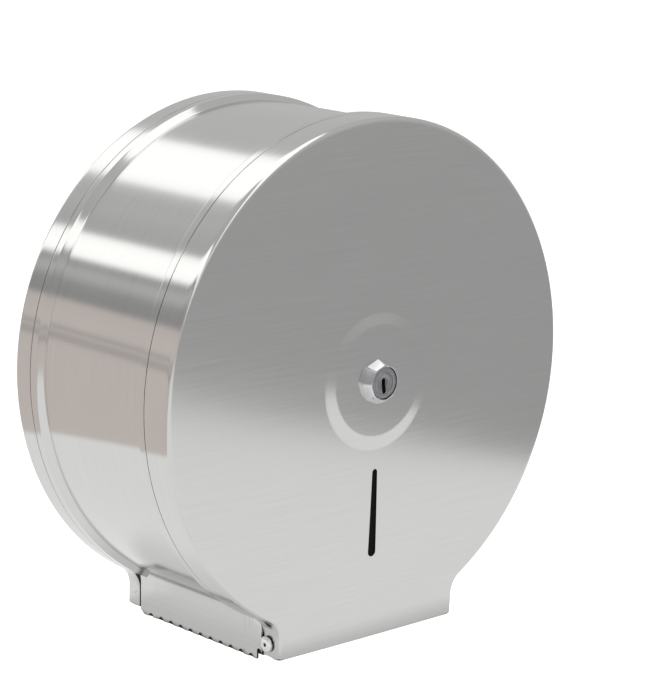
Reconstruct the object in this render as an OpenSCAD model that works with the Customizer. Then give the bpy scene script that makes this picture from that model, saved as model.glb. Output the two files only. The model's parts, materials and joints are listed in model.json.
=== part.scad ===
// Jumbo toilet roll dispenser: a round wall casing of brushed stainless sheet.
// The front cover swings down on two rivets beside the paper mouth and is held by a cam lock.
// The origin is on the drum axis at the wall. +Z is up and the front faces -Y.

/* [Casing] */
// Diameter across the round casing
casing_dia = 270; // [240:1:330]
// Depth from the wall to the middle of the front face
casing_depth = 126.5; // [118:0.5:160]
// Thickness of the stainless sheet
sheet_t = 0.8; // [0.6:0.1:1.2]
// Width across the paper mouth
mouth_width = 123.6; // [100:0.2:140]
// How far the mouth's lower edge hangs below the round
mouth_reach = 3; // [1:0.5:12]
// Radius of the hollow shoulder between the round and the mouth
shoulder_r = 12; // [8:0.5:18]
// Open seam between the drum and each dish
seam_gap = 0.4; // [0.3:0.05:0.8]

/* [Rear dish] */
// Depth of the rear dish's rim
rear_rim = 12.8; // [10:0.2:20]
// Distance between the wall screws across
screw_span_x = 140; // [120:1:150]
// Distance between the wall screws upright
screw_span_z = 120; // [110:1:130]
// Diameter of a wall screw hole
screw_hole_dia = 6; // [4:0.5:8]
// Diameter of the raised pad that carries the spindle
pad_dia = 100; // [92:1:110]
// Height of the raised pad
pad_h = 2; // [1.5:0.1:3]

/* [Drum shell] */
// Width of the flat lip along each edge of the drum
lip_w = 4.6; // [3:0.1:8]
// Length of the slope beside each lip
step_w = 3.6; // [2:0.1:8]
// How far the middle of the drum lies below its lips
step_h = 3; // [1:0.1:5]
// Arc of each strap that joins the drum to the rear dish, in degrees
strap_arc = 12; // [6:1:20]
// How far a strap reaches into the rear dish
strap_grip = 9; // [5:0.5:11]

/* [Cutter plates] */
// Distance from one notch to the next
tooth_pitch = 8.2; // [6:0.1:12]
// Radius of a half-round notch
notch_r = 1.9; // [1.2:0.1:2.8]
// Distance of the first notch from the plate's rear end
notch_start = 8.8; // [6:0.1:12]
// How far the cutting edge hangs below the mouth's edge
cutter_reach = 2.2; // [1:0.1:6]
// Clearance between a cutter plate and the cover's flank
plate_gap = 0.3; // [0.3:0.05:0.8]
// Height of the weld tabs along the mouth
tab_h = 12; // [8:0.5:14]

/* [Hinge] */
// Diameter of a hinge rivet's shank
rivet_dia = 4; // [3.2:0.1:4.8]
// Diameter of a hinge rivet's head
rivet_head_dia = 8; // [7:0.1:9.5]
// Height of a hinge rivet's head
rivet_head_h = 1.1; // [0.8:0.1:1.6]
// Distance of the hinge behind the edge of the front face
pivot_setback = 8.5; // [8:0.1:10]
// Height of the hinge above the mouth's lower edge
pivot_rise = 7.2; // [6.5:0.1:8]
// Radius of the ear round a hinge rivet
ear_r = 5; // [4.8:0.1:5.6]
// How far a cutter plate's front edge lies behind the hinge
plate_setback = 3.5; // [3:0.1:4]

/* [Front cover] */
// Depth of the cover's rim
cover_rim = 18; // [16:0.2:24]
// How far the front face bulges over the radius of the casing
crown_h = 2.7; // [1:0.1:5]
// Diameter of the pressed ring at its foot
ring_foot_dia = 73; // [66:0.5:80]
// Diameter of the raised disc inside the pressed ring
ring_top_dia = 57; // [50:0.5:62]
// Height of the raised disc
ring_h = 1; // [0.5:0.1:2]
// Distance of the window's upper end below the drum axis
window_drop = 48.3; // [44:0.1:60]
// Length of the window between the centres of its ends
window_len = 42.8; // [20:0.1:60]
// Width of the window at its upper end
window_top_w = 3.4; // [2:0.1:5]
// Width of the window at its lower end
window_foot_w = 5.3; // [3:0.1:8]

/* [Lock] */
// Diameter of the lock's head at its foot
head_dia = 23.5; // [22:0.1:27]
// Diameter of the lock's head at its front
head_front_dia = 19.2; // [18.6:0.1:20]
// Height of the lock's head
head_h = 5; // [4:0.1:8]
// Diameter of the lock's barrel
barrel_dia = 19; // [17.5:0.1:20]
// Length of the barrel behind the face
barrel_len = 14.5; // [13:0.5:17]
// Diameter of the plug's face
plug_face_dia = 17; // [16:0.1:17.2]
// Diameter of the plug inside the barrel
plug_dia = 13; // [11:0.1:13.4]
// Reach of the cam from the lock's axis
cam_reach = 16.5; // [14:0.1:17]
// Width of the cam
cam_w = 9; // [8:0.1:10]
// Thickness of the cam
cam_t = 1.8; // [1.2:0.1:2.5]
// Thickness of the latch plate
latch_t = 1.5; // [1:0.1:2]

/* [Roll hub] */
// Outer diameter of the spindle tube
spindle_dia = 44; // [43:0.5:46]
// Wall of the spindle tube
spindle_wall = 1.2; // [1:0.1:1.5]
// Diameter of the spindle's flange
flange_dia = 84; // [80:1:88]
// Wall of the hub
hub_wall = 2.5; // [2:0.1:3]
// Diameter across the hub's ribs, for a 57 mm roll core
hub_rib_dia = 55; // [53:0.5:56]
// Diameter of the hub's rear flange
hub_flange_dia = 76; // [70:1:90]
// Number of ribs along the hub
hub_ribs = 6; // [3:1:12]

/* [Hidden] */

steel = [0.74, 0.74, 0.72];
dark_steel = [0.36, 0.36, 0.37];
bright_steel = [0.85, 0.85, 0.87];
rivet_metal = [0.88, 0.87, 0.86];
hub_plastic = [0.92, 0.92, 0.9];
washer_plastic = [0.1, 0.1, 0.1];

$fn = 96;
// Overrun of every cut past the surface that it opens
over = 1;
// Steps in a rounded corner of an outline
corner_steps = 6;

rim_r = casing_dia / 2;
mouth_half = mouth_width / 2;
mouth_drop = rim_r + mouth_reach;
shoulder_x = mouth_half + shoulder_r;
shoulder_drop = sqrt(pow(rim_r + shoulder_r, 2) - pow(shoulder_x, 2));
// The shoulder's arc crosses its neighbours at a slight angle instead of grazing them
shoulder_bite = 0.01;

// Depths from the wall
face_edge = casing_depth - crown_h;
cover_back = face_edge - cover_rim;
shell_front = cover_back - seam_gap;
shell_back = rear_rim + seam_gap;
drum_r = rim_r - step_h;
pad_r = pad_dia / 2;
pad_front = pad_h + sheet_t;

// The crowned face and its pressed ring
ring_foot_r = ring_foot_dia / 2;
ring_top_r = ring_top_dia / 2;
ring_foot_depth = casing_depth - crown_h * pow(ring_foot_r / rim_r, 2);
plateau = ring_foot_depth + ring_h;
face_reach = norm([mouth_half, mouth_drop]) + over;
crown_steps = 9;

// Side sheets, measured out from the middle plane
flank_in = mouth_half - sheet_t;
plate_in = mouth_half + plate_gap;
plate_out = plate_in + sheet_t;
tab_in = plate_in - sheet_t;
pivot_depth = face_edge - pivot_setback;
pivot_drop = mouth_drop - pivot_rise;
rivet_r = rivet_dia / 2;
run_gap = 0.1;
fixed_gap = 0.05;
washer_t = 0.8;
washer_out = flank_in - plate_gap;
washer_in = washer_out - washer_t;
washer_r = ear_r;
blind_r = rivet_r + sheet_t;
blind_h = rivet_r;
mandrel_r = rivet_r / 2;

// Cutter plates
plate_bottom = mouth_drop + cutter_reach;
plate_back = shell_back;
plate_front = pivot_depth - plate_setback;
plate_corner = 3;
lip_top = sqrt(pow(rim_r, 2) - pow(plate_in, 2)) + fixed_gap;
middle_top = sqrt(pow(drum_r, 2) - pow(plate_in, 2)) + fixed_gap;
// In front of the drum the plate stands a little higher than the drum's lip
front_top = lip_top - 2 * sheet_t;
// The pocket in the cover's shoulder that takes the front end of a cutter plate
relief_front = plate_front + plate_gap;
relief_top = front_top - sheet_t - plate_gap;
relief_corner = plate_corner + plate_gap;
slit_share = 0.8;
slit_w = rivet_dia * slit_share;
slit_top = pivot_drop + ear_r;
first_notch = plate_back + notch_start;
notch_margin = 1;
last_notch = plate_front - slit_w - notch_r - notch_margin;
notch_count = floor((last_notch - first_notch) / tooth_pitch) + 1;
tab_margin = step_w;
tab_back = shell_back + lip_w + step_w + tab_margin;
tab_front = shell_front - lip_w - step_w - tab_margin;
joggle_drop = mouth_drop - mouth_reach + fixed_gap;
// The shallow arch in the lower edge of the cover's flank
arch_margin = 1;
arch_span = 2 * (ear_r + arch_margin);
arch_share = 0.3;
arch_h = mouth_reach * arch_share;
arch_r = (pow(arch_span / 2, 2) + pow(arch_h, 2)) / (2 * arch_h);

// Straps between the rear dish and the drum
strap_angles = [90, 30, 150, -25, 205];

// Spindle, latch and hub
spindle_r = spindle_dia / 2;
spindle_bore_r = spindle_r - spindle_wall;
flange_r = flange_dia / 2;
flange_t = 1.2;
flange_front = pad_front + flange_t;
spindle_rivet_r = 2;
spindle_rivet_head_r = 4;
spindle_rivet_head_h = 1.2;
spindle_rivet_count = 4;
spindle_rivet_ring = (flange_r + spindle_r) / 2 + sheet_t;
hub_washer_t = 2.5;
hub_washer_r = spindle_r + hub_washer_t;
hub_washer_front = flange_front + hub_washer_t;
hub_gap = 0.3;
hub_back = hub_washer_front + hub_gap;
hub_flange_t = 2.5;

barrel_back = plateau - barrel_len;
clip_t = 1;
latch_clear = 1.5;
latch_front = barrel_back - latch_clear;
cam_clear = 0.6;
cam_front = latch_front - latch_t - cam_clear;
cam_back = cam_front - cam_t;
retainer_t = 2;
retainer_front = latch_front - cam_clear;
retainer_r = hub_rib_dia / 2 - fixed_gap;
hub_front = retainer_front - retainer_t - hub_gap;

// Lock
barrel_r = barrel_dia / 2;
barrel_flat_share = 0.88;
barrel_flat_half = barrel_r * barrel_flat_share;
head_r = head_dia / 2;
head_front_r = head_front_dia / 2;
head_facets = 8;
facet_share = 0.95;
plug_face_r = plug_face_dia / 2;
plug_r = plug_dia / 2;
plug_face_t = 1.6;
plug_recess = 0.5;
plug_front = plateau + head_h - plug_recess;
plug_ledge = plug_front - plug_face_t - run_gap;
plug_groove_share = 0.72;
plug_groove_r = plug_face_r * plug_groove_share;
plug_groove_w = 0.8;
plug_groove_h = 0.5;
keyhole_w = 2.2;
keyhole_h = 8;
keyhole_len = barrel_len;
stem_r = 4.5;
screw_r = 3;
clip_r = plug_r + washer_t;
cam_hub_r = 6.5;
cam_washer_t = 0.8;
cam_washer_r = 5.5;
cam_nut_t = 2.4;
cam_nut_r = 5.6;
cam_washer_back = cam_back - cam_washer_t;
cam_nut_back = cam_washer_back - cam_nut_t;
keyway_r = cam_hub_r + latch_clear;
keyway_w = cam_w + 2 * latch_clear;
keyway_top = cam_reach + latch_clear;
lock_washer_t = 1.2;
lock_washer_lip = 3;
lock_washer_r = barrel_r + lock_washer_lip;
lock_nut_t = 4;
lock_nut_r = 13.5;
washer_front = plateau - sheet_t;

// Stands the casing up: what is drawn flat, with its depth along Z, comes to face -Y
module upright() {
    rotate([90, 0, 0]) children();
}

// A sheet beside the mouth, drawn as [up, depth], with its inner face at a distance from the middle
module side_sheet(inner, thickness) {
    translate([inner, 0, 0]) rotate([180, -90, 0]) linear_extrude(thickness) children();
}

// Copies a right-hand piece to both sides
module both_sides() {
    children();
    mirror([1, 0, 0]) children();
}

// A stretch of a round corner
function corner(centre, r, from, to) =
    [for (i = [0:corner_steps]) let (a = from + (to - from) * i / corner_steps)
        centre + r * [cos(a), sin(a)]];

// The mouth's outline, with hollow shoulders that spread up to the round
module mouth_outline(inset, reach) {
    side = mouth_half - inset;
    difference() {
        polygon([[0, 0], [shoulder_x, -shoulder_drop], [side, -shoulder_drop],
                 [side, -mouth_drop - reach], [-side, -mouth_drop - reach],
                 [-side, -shoulder_drop], [-shoulder_x, -shoulder_drop]]);
        for (x = [-shoulder_x, shoulder_x])
            translate([x, -shoulder_drop]) circle(r = shoulder_r + inset + shoulder_bite);
    }
}

// A block in the outline of both dishes: the round and the mouth below it
module dish_block(h, inset = 0, reach = 0) {
    cylinder(h = h, r = rim_r - inset, $fn = 180);
    linear_extrude(h) mouth_outline(inset, reach);
}

// Depth of the crowned face at a radius
function crown_depth(r) = casing_depth - crown_h * pow(r / rim_r, 2);

// All that lies in front of the crowned face, sunk by the sheet for its inner side
module before_face(sunk = 0) {
    crown = [for (i = [0:crown_steps])
        let (r = face_reach + (ring_foot_r - face_reach) * i / crown_steps)
            [r, crown_depth(r) - sunk]];
    rotate_extrude($fn = 180)
        polygon(concat([[0, plateau + over], [face_reach, plateau + over]], crown,
                       [[ring_top_r, plateau - sunk], [0, plateau - sunk]]));
}

module screw_places() {
    for (x = [-1, 1], z = [-1, 1])
        translate([x * screw_span_x / 2, z * screw_span_z / 2]) children();
}

module spindle_rivet_places() {
    for (i = [0:spindle_rivet_count - 1])
        rotate([0, 0, (i + 0.5) * 360 / spindle_rivet_count])
            translate([spindle_rivet_ring, 0, 0]) children();
}

module back_plate() {
    color(steel) upright() difference() {
        union() {
            difference() {
                dish_block(rear_rim);
                translate([0, 0, sheet_t]) dish_block(rear_rim, sheet_t, over);
            }
            translate([0, 0, sheet_t])
                cylinder(h = pad_h, r1 = pad_r + pad_h + sheet_t / 2, r2 = pad_r + sheet_t / 2);
        }
        translate([0, 0, -over]) cylinder(h = pad_h + over, r1 = pad_r + pad_h + over, r2 = pad_r);
        screw_places() translate([0, 0, -over]) cylinder(h = sheet_t + 2 * over, d = screw_hole_dia);
        spindle_rivet_places() cylinder(h = pad_front + over, r = spindle_rivet_r + fixed_gap);
    }
}

// The rolled band with its raised lips, open at the mouth, and the tabs for the cutter plates
module drum_shell() {
    slope_back = shell_back + lip_w;
    slope_front = shell_front - lip_w;
    band = [[rim_r, shell_back], [rim_r, slope_back], [drum_r, slope_back + step_w],
            [drum_r, slope_front - step_w], [rim_r, slope_front], [rim_r, shell_front]];
    inside = [for (i = [len(band) - 1:-1:0]) band[i] - [sheet_t, 0]];
    color(steel) upright() {
        difference() {
            rotate_extrude($fn = 180) polygon(concat(band, inside));
            translate([-tab_in, -rim_r - over, 0]) cube([2 * tab_in, rim_r, casing_depth]);
        }
        intersection() {
            both_sides() translate([tab_in, -middle_top - tab_h, tab_back])
                cube([sheet_t, 2 * tab_h, tab_front - tab_back]);
            union() {
                translate([0, 0, tab_back]) cylinder(h = tab_front - tab_back, r = drum_r, $fn = 180);
                translate([-rim_r, -middle_top - tab_h, tab_back])
                    cube([casing_dia, tab_h, tab_front - tab_back]);
            }
        }
    }
}

module shell_straps() {
    color(steel) upright() for (a = strap_angles)
        rotate([0, 0, a - strap_arc / 2]) rotate_extrude(angle = strap_arc, $fn = 180)
            translate([rim_r - 2 * sheet_t - fixed_gap, rear_rim - strap_grip])
                square([sheet_t, strap_grip + seam_gap + lip_w - fixed_gap]);
}

// Outline of a cutter plate as [up, depth]: the toothed edge, the slit and the ear round the rivet
module cutter_outline() {
    edge = concat(
        corner([-lip_top - plate_corner, plate_back + plate_corner], plate_corner, -90, 0),
        [[-lip_top, shell_back + lip_w], [-middle_top, shell_back + lip_w + step_w],
         [-middle_top, shell_front - lip_w - step_w], [-lip_top, shell_front - lip_w],
         [-lip_top, shell_front + fixed_gap], [-front_top, shell_front + fixed_gap]],
        corner([-front_top - plate_corner, plate_front - plate_corner], plate_corner, 0, 90),
        [[-plate_bottom, plate_front], [-plate_bottom, plate_back + plate_corner],
         [-mouth_drop, plate_back]]);
    difference() {
        union() {
            polygon(edge);
            translate([-pivot_drop, pivot_depth]) circle(r = ear_r);
        }
        for (i = [0:notch_count - 1])
            translate([-plate_bottom, first_notch + i * tooth_pitch]) circle(r = notch_r);
        translate([-slit_top, plate_front - slit_w / 2]) circle(d = slit_w);
        translate([-plate_bottom - over, plate_front - slit_w])
            square([plate_bottom + over - slit_top, slit_w]);
        translate([-pivot_drop, pivot_depth]) circle(r = rivet_r + fixed_gap);
    }
}

// A cutter plate with the joggled tab that grips the rear dish's flank from inside
module cutter_plate() {
    side_sheet(plate_in, sheet_t) cutter_outline();
    upright() {
        translate([flank_in - sheet_t, -joggle_drop, rear_rim - strap_grip])
            cube([sheet_t, tab_h, strap_grip + seam_gap + sheet_t]);
        translate([flank_in - sheet_t, -joggle_drop, plate_back])
            cube([plate_out - flank_in + sheet_t, tab_h, sheet_t]);
    }
}

module cutter_plate_left() {
    color(steel) mirror([1, 0, 0]) cutter_plate();
}

module cutter_plate_right() {
    color(steel) cutter_plate();
}

// Everything on the hinge axis is turned from a profile, with its outer end along +X
module on_hinge_axis() {
    translate([0, -pivot_depth, -pivot_drop]) rotate([0, 90, 0]) children();
}

// A blind rivet: domed head outside the ear, shank through ear and flank, set end behind the washer
module hinge_rivet() {
    dome_r = (pow(rivet_head_dia / 2, 2) + pow(rivet_head_h, 2)) / (2 * rivet_head_h);
    on_hinge_axis() difference() {
        union() {
            translate([0, 0, washer_in]) cylinder(h = plate_out - washer_in, r = rivet_r);
            translate([0, 0, washer_in - blind_h]) cylinder(h = blind_h, r = blind_r);
            intersection() {
                translate([0, 0, plate_out]) cylinder(h = rivet_head_h, d = rivet_head_dia);
                translate([0, 0, plate_out + rivet_head_h - dome_r]) sphere(r = dome_r);
            }
        }
        translate([0, 0, plate_out]) cylinder(h = rivet_head_h + over, r = mandrel_r);
    }
}

module hinge_rivet_left() {
    color(rivet_metal) mirror([1, 0, 0]) hinge_rivet();
}

module hinge_rivet_right() {
    color(rivet_metal) hinge_rivet();
}

module hinge_washers() {
    color(washer_plastic) both_sides() on_hinge_axis() translate([0, 0, washer_in])
        ring(washer_r, rivet_r + fixed_gap, washer_t);
}

// A flat ring or a tube
module ring(r, bore, h) {
    difference() {
        cylinder(h = h, r = r);
        translate([0, 0, -over]) cylinder(h = h + 2 * over, r = bore);
    }
}

module spindle_flange() {
    color(steel) upright() difference() {
        translate([0, 0, pad_front]) cylinder(h = flange_t, r = flange_r);
        spindle_rivet_places() cylinder(h = flange_front + over, r = spindle_rivet_r + fixed_gap);
    }
}

module spindle_rivets() {
    color(rivet_metal) upright() spindle_rivet_places() {
        translate([0, 0, pad_h]) cylinder(h = flange_front - pad_h, r = spindle_rivet_r);
        translate([0, 0, flange_front])
            cylinder(h = spindle_rivet_head_h, r1 = spindle_rivet_head_r, r2 = spindle_rivet_r);
        translate([0, 0, pad_h - spindle_rivet_head_h])
            cylinder(h = spindle_rivet_head_h, r = spindle_rivet_head_r - sheet_t);
    }
}

module spindle_tube() {
    color(steel) upright() translate([0, 0, flange_front])
        ring(spindle_r, spindle_bore_r, latch_front - flange_front);
}

// The disc in the spindle's mouth that the cam turns behind, with its keyway upward
module latch_plate() {
    color(steel) upright() translate([0, 0, latch_front - latch_t]) difference() {
        cylinder(h = latch_t, r = spindle_bore_r);
        translate([0, 0, -over]) cylinder(h = latch_t + 2 * over, r = keyway_r);
        translate([-keyway_w / 2, 0, -over]) cube([keyway_w, keyway_top, latch_t + 2 * over]);
    }
}

module hub_washer() {
    color(washer_plastic) upright() translate([0, 0, flange_front])
        ring(hub_washer_r, spindle_r + fixed_gap, hub_washer_t);
}

module hub_retainer() {
    color(steel) upright() translate([0, 0, retainer_front - retainer_t])
        ring(retainer_r, spindle_r, retainer_t);
}

// The turning sleeve that the roll's core slides onto
module roll_hub() {
    hub_r = spindle_r + run_gap + hub_wall;
    rib_r = hub_rib_dia / 2;
    rib_w = hub_wall;
    rib_len = hub_front - hub_back - hub_flange_t - rib_w;
    color(hub_plastic) upright() translate([0, 0, hub_back]) difference() {
        union() {
            cylinder(h = hub_front - hub_back, r = hub_r);
            cylinder(h = hub_flange_t, d = hub_flange_dia);
            for (i = [0:hub_ribs - 1])
                rotate([0, 0, i * 360 / hub_ribs]) translate([spindle_r + hub_wall / 2, -rib_w / 2, 0])
                    cube([rib_r - spindle_r - hub_wall / 2, rib_w, hub_flange_t + rib_len]);
        }
        translate([0, 0, -over])
            cylinder(h = hub_front - hub_back + 2 * over, r = spindle_r + run_gap);
    }
}

// The long window that shows how much paper is left, wider at its foot
module window_outline() {
    foot = window_drop + window_len;
    translate([0, -window_drop]) circle(d = window_top_w);
    translate([0, -foot]) circle(d = window_foot_w);
    polygon([[-window_top_w / 2, -window_drop], [window_top_w / 2, -window_drop],
             [window_foot_w / 2, -foot], [-window_foot_w / 2, -foot]]);
}

// A circle with two flats, which keeps the barrel from turning
module barrel_outline(gap = 0) {
    intersection() {
        circle(r = barrel_r + gap);
        square([2 * (barrel_r + gap + over), 2 * (barrel_flat_half + gap)], center = true);
    }
}

// The pocket's opening as [up, depth], rounded like the plate's corner
module relief_outline() {
    polygon(concat(
        [[-shoulder_drop, cover_back - over], [-relief_top, cover_back - over]],
        corner([-relief_top - relief_corner, relief_front - relief_corner], relief_corner, 0, 90),
        [[-shoulder_drop, relief_front]]));
}

// The blocks that stay in the cover's hollow to wall the pockets off
module relief_walls() {
    both_sides() translate([flank_in, -shoulder_drop, cover_back - over])
        cube([shoulder_r, shoulder_drop - relief_top + sheet_t,
              relief_front + sheet_t - cover_back + over]);
}

module front_cover() {
    color(steel) difference() {
        upright() difference() {
            translate([0, 0, cover_back]) dish_block(plateau - cover_back);
            before_face();
            difference() {
                translate([0, 0, cover_back - over])
                    dish_block(plateau - cover_back + over, sheet_t, over);
                before_face(sheet_t);
                relief_walls();
            }
            translate([0, 0, cover_back]) linear_extrude(casing_depth) {
                window_outline();
                barrel_outline(fixed_gap);
            }
        }
        both_sides() {
            side_sheet(mouth_half, shoulder_r) relief_outline();
            side_sheet(flank_in - over, sheet_t + 2 * over) {
                translate([-pivot_drop, pivot_depth]) circle(r = rivet_r + run_gap);
                translate([-mouth_drop + arch_h - arch_r, pivot_depth]) circle(r = arch_r);
            }
        }
    }
}

// The lock's head with its eight facets, and the barrel behind the face
module lock_housing() {
    lean = atan2(head_r - head_front_r, head_h);
    color(bright_steel) upright() difference() {
        union() {
            translate([0, 0, plateau]) difference() {
                cylinder(h = head_h, r1 = head_r, r2 = head_front_r);
                for (i = [0:head_facets - 1])
                    rotate([0, 0, (i + 0.5) * 360 / head_facets])
                        translate([head_r * facet_share, -head_r, 0])
                            rotate([0, -lean, 0]) translate([0, 0, -head_h])
                                cube([head_r, head_dia, 3 * head_h]);
            }
            translate([0, 0, barrel_back]) linear_extrude(barrel_len) barrel_outline();
        }
        translate([0, 0, barrel_back - over])
            cylinder(h = barrel_len + head_h + 2 * over, r = plug_r + run_gap);
        translate([0, 0, plug_ledge]) cylinder(h = head_h, r = plug_face_r + run_gap);
    }
}

module lock_washer() {
    color(bright_steel) upright() translate([0, 0, washer_front - lock_washer_t])
        ring(lock_washer_r, barrel_r + fixed_gap, lock_washer_t);
}

module lock_nut() {
    color(bright_steel) upright() translate([0, 0, washer_front - lock_washer_t - lock_nut_t])
        difference() {
            cylinder(h = lock_nut_t, r = lock_nut_r, $fn = 6);
            translate([0, 0, -over]) cylinder(h = lock_nut_t + 2 * over, r = barrel_r + fixed_gap);
        }
}

// The plug with its keyhole, and the stem that carries the cam
module lock_plug() {
    color(dark_steel) upright() difference() {
        union() {
            translate([0, 0, plug_ledge + run_gap]) cylinder(h = plug_face_t, r = plug_face_r);
            translate([0, 0, barrel_back])
                cylinder(h = plug_front - barrel_back - plug_face_t / 2, r = plug_r);
            translate([0, 0, cam_front]) cylinder(h = barrel_back + over - cam_front, r = stem_r);
            translate([0, 0, cam_nut_back]) cylinder(h = cam_front + over - cam_nut_back, r = screw_r);
        }
        translate([0, 0, plug_front - plug_groove_h])
            ring(plug_groove_r, plug_groove_r - plug_groove_w, plug_groove_h + over);
        translate([-keyhole_w / 2, -keyhole_h / 2, plug_front - keyhole_len])
            cube([keyhole_w, keyhole_h, keyhole_len + over]);
    }
}

module plug_clip() {
    color(bright_steel) upright() translate([0, 0, barrel_back - run_gap - clip_t])
        ring(clip_r, stem_r, clip_t);
}

// The cam points up at rest, which is unlocked
module lock_cam() {
    tip_r = cam_w / 3;
    color(bright_steel) upright() translate([0, 0, cam_back]) difference() {
        union() {
            cylinder(h = cam_t, r = cam_hub_r);
            translate([-cam_w / 2, 0, 0]) cube([cam_w, cam_reach - tip_r, cam_t]);
            translate([-cam_w / 2 + tip_r, cam_reach - tip_r - over, 0])
                cube([cam_w - 2 * tip_r, tip_r + over, cam_t]);
            for (side = [-1, 1])
                translate([side * (cam_w / 2 - tip_r), cam_reach - tip_r, 0])
                    cylinder(h = cam_t, r = tip_r);
        }
        translate([0, 0, -over]) cylinder(h = cam_t + 2 * over, r = screw_r + fixed_gap);
    }
}

module cam_washer() {
    color(bright_steel) upright() translate([0, 0, cam_washer_back])
        ring(cam_washer_r, screw_r + fixed_gap, cam_washer_t);
}

module cam_nut() {
    color(bright_steel) upright() translate([0, 0, cam_nut_back]) difference() {
        cylinder(h = cam_nut_t, r = cam_nut_r, $fn = 6);
        translate([0, 0, -over]) cylinder(h = cam_nut_t + 2 * over, r = screw_r + fixed_gap);
    }
}

back_plate();
drum_shell();
shell_straps();
cutter_plate_left();
cutter_plate_right();
hinge_rivet_left();
hinge_rivet_right();
hinge_washers();
spindle_flange();
spindle_rivets();
spindle_tube();
latch_plate();
hub_washer();
hub_retainer();
roll_hub();
front_cover();
lock_housing();
lock_washer();
lock_nut();
lock_plug();
plug_clip();
lock_cam();
cam_washer();
cam_nut();
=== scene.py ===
import json
import math

import bmesh
import bpy
from mathutils import Matrix, Vector


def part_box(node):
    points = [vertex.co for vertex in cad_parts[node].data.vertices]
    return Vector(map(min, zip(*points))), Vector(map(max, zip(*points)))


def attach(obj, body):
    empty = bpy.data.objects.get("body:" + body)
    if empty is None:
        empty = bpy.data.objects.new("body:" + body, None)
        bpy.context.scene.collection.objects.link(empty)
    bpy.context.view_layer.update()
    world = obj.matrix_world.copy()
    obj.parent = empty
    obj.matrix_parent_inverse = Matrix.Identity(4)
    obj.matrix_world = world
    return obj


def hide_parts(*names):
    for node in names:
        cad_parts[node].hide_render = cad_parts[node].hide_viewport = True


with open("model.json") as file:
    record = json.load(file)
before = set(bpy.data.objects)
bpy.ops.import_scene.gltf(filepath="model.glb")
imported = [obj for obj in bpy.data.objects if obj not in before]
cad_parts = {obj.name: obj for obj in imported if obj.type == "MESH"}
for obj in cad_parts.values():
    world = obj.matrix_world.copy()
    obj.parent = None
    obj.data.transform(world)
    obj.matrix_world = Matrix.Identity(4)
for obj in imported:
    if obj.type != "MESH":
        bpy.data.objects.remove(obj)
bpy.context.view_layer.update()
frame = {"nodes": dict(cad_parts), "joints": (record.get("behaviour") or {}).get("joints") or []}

# Sizes in metres, read from the frame where it has them
mm = 0.001
sheet = 0.8 * mm
rim_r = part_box("drum_shell")[1].x
shell_front = -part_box("drum_shell")[0].y
shell_back = -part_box("drum_shell")[1].y
rear_rim = -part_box("back_plate")[0].y
mouth_drop = -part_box("back_plate")[0].z
cover_back = -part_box("front_cover")[1].y
plateau = -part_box("front_cover")[0].y
plate_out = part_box("cutter_plate_right")[1].x
plate_bottom = -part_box("cutter_plate_right")[0].z
plate_gap = 0.3 * mm
plate_in = plate_out - sheet
mouth_half = plate_in - plate_gap
hinge = Vector(next(j["pos_m"] for j in frame["joints"] if j["name"] == "cover_swing"))
pivot_depth = -hinge.y
pivot_drop = -hinge.z
plateau_h = 0.8 * mm
front_centre = plateau - plateau_h
crown_h = 2.7 * mm
shoulder_r = 12 * mm
shoulder_x = mouth_half + shoulder_r
shoulder_drop = math.sqrt((rim_r + shoulder_r) ** 2 - shoulder_x ** 2)
corner_r = 1 * mm
plate_setback = 3.5 * mm
plate_front = pivot_depth - plate_setback
lip_drop = math.sqrt(rim_r ** 2 - plate_in ** 2)
plate_top = lip_drop - 2 * sheet

# The camera of the photograph, as a place, a direction and a lens
image_w, image_h = 649, 673
focal_px = 2676.2
centre_px = (349.66, 354.63)
camera_place = Vector((-0.91497, -1.08895, 0.31987))
camera_azimuth = math.radians(-42.928)
camera_elevation = math.radians(12.991)
camera_roll = math.radians(1.261)
camera_near, camera_far = 0.05, 60


def make_camera():
    data = bpy.data.cameras.new("camera")
    camera = bpy.data.objects.new("camera", data)
    bpy.context.scene.collection.objects.link(camera)
    data.sensor_fit = "HORIZONTAL"
    data.lens = focal_px / image_w * data.sensor_width
    data.shift_x = (image_w / 2 - centre_px[0]) / image_w
    data.shift_y = (centre_px[1] - image_h / 2) / image_w
    data.clip_start, data.clip_end = camera_near, camera_far
    camera.location = camera_place
    turn = Matrix.Rotation(camera_azimuth, 4, "Z") @ Matrix.Rotation(math.pi / 2 - camera_elevation, 4, "X")
    camera.rotation_euler = (turn @ Matrix.Rotation(camera_roll, 4, "Z")).to_euler()
    bpy.context.scene.camera = camera


# Small helpers for the nodes of a material

def add(tree, kind, **settings):
    node = tree.nodes.new(kind)
    for name, value in settings.items():
        setattr(node, name, value)
    return node


def math_node(tree, operation, a, b=None):
    node = add(tree, "ShaderNodeMath", operation=operation)
    for socket, value in zip(node.inputs, (a, b)):
        if isinstance(value, bpy.types.NodeSocket):
            tree.links.new(value, socket)
        elif value is not None:
            socket.default_value = value
    return node.outputs[0]


def remap(tree, value, low, high, to_low, to_high, smooth=False):
    node = add(tree, "ShaderNodeMapRange", interpolation_type="SMOOTHSTEP" if smooth else "LINEAR")
    tree.links.new(value, node.inputs["Value"])
    for name, number in zip(("From Min", "From Max", "To Min", "To Max"), (low, high, to_low, to_high)):
        node.inputs[name].default_value = number
    return node.outputs[0]


def ramp(tree, value, stops):
    node = add(tree, "ShaderNodeValToRGB")
    tree.links.new(value, node.inputs[0])
    elements = node.color_ramp.elements
    while len(elements) < len(stops):
        elements.new(0.5)
    for element, (place, colour) in zip(elements, sorted(stops)):
        element.position = place
        element.color = (*colour, 1)
    return node.outputs[0]


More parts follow.
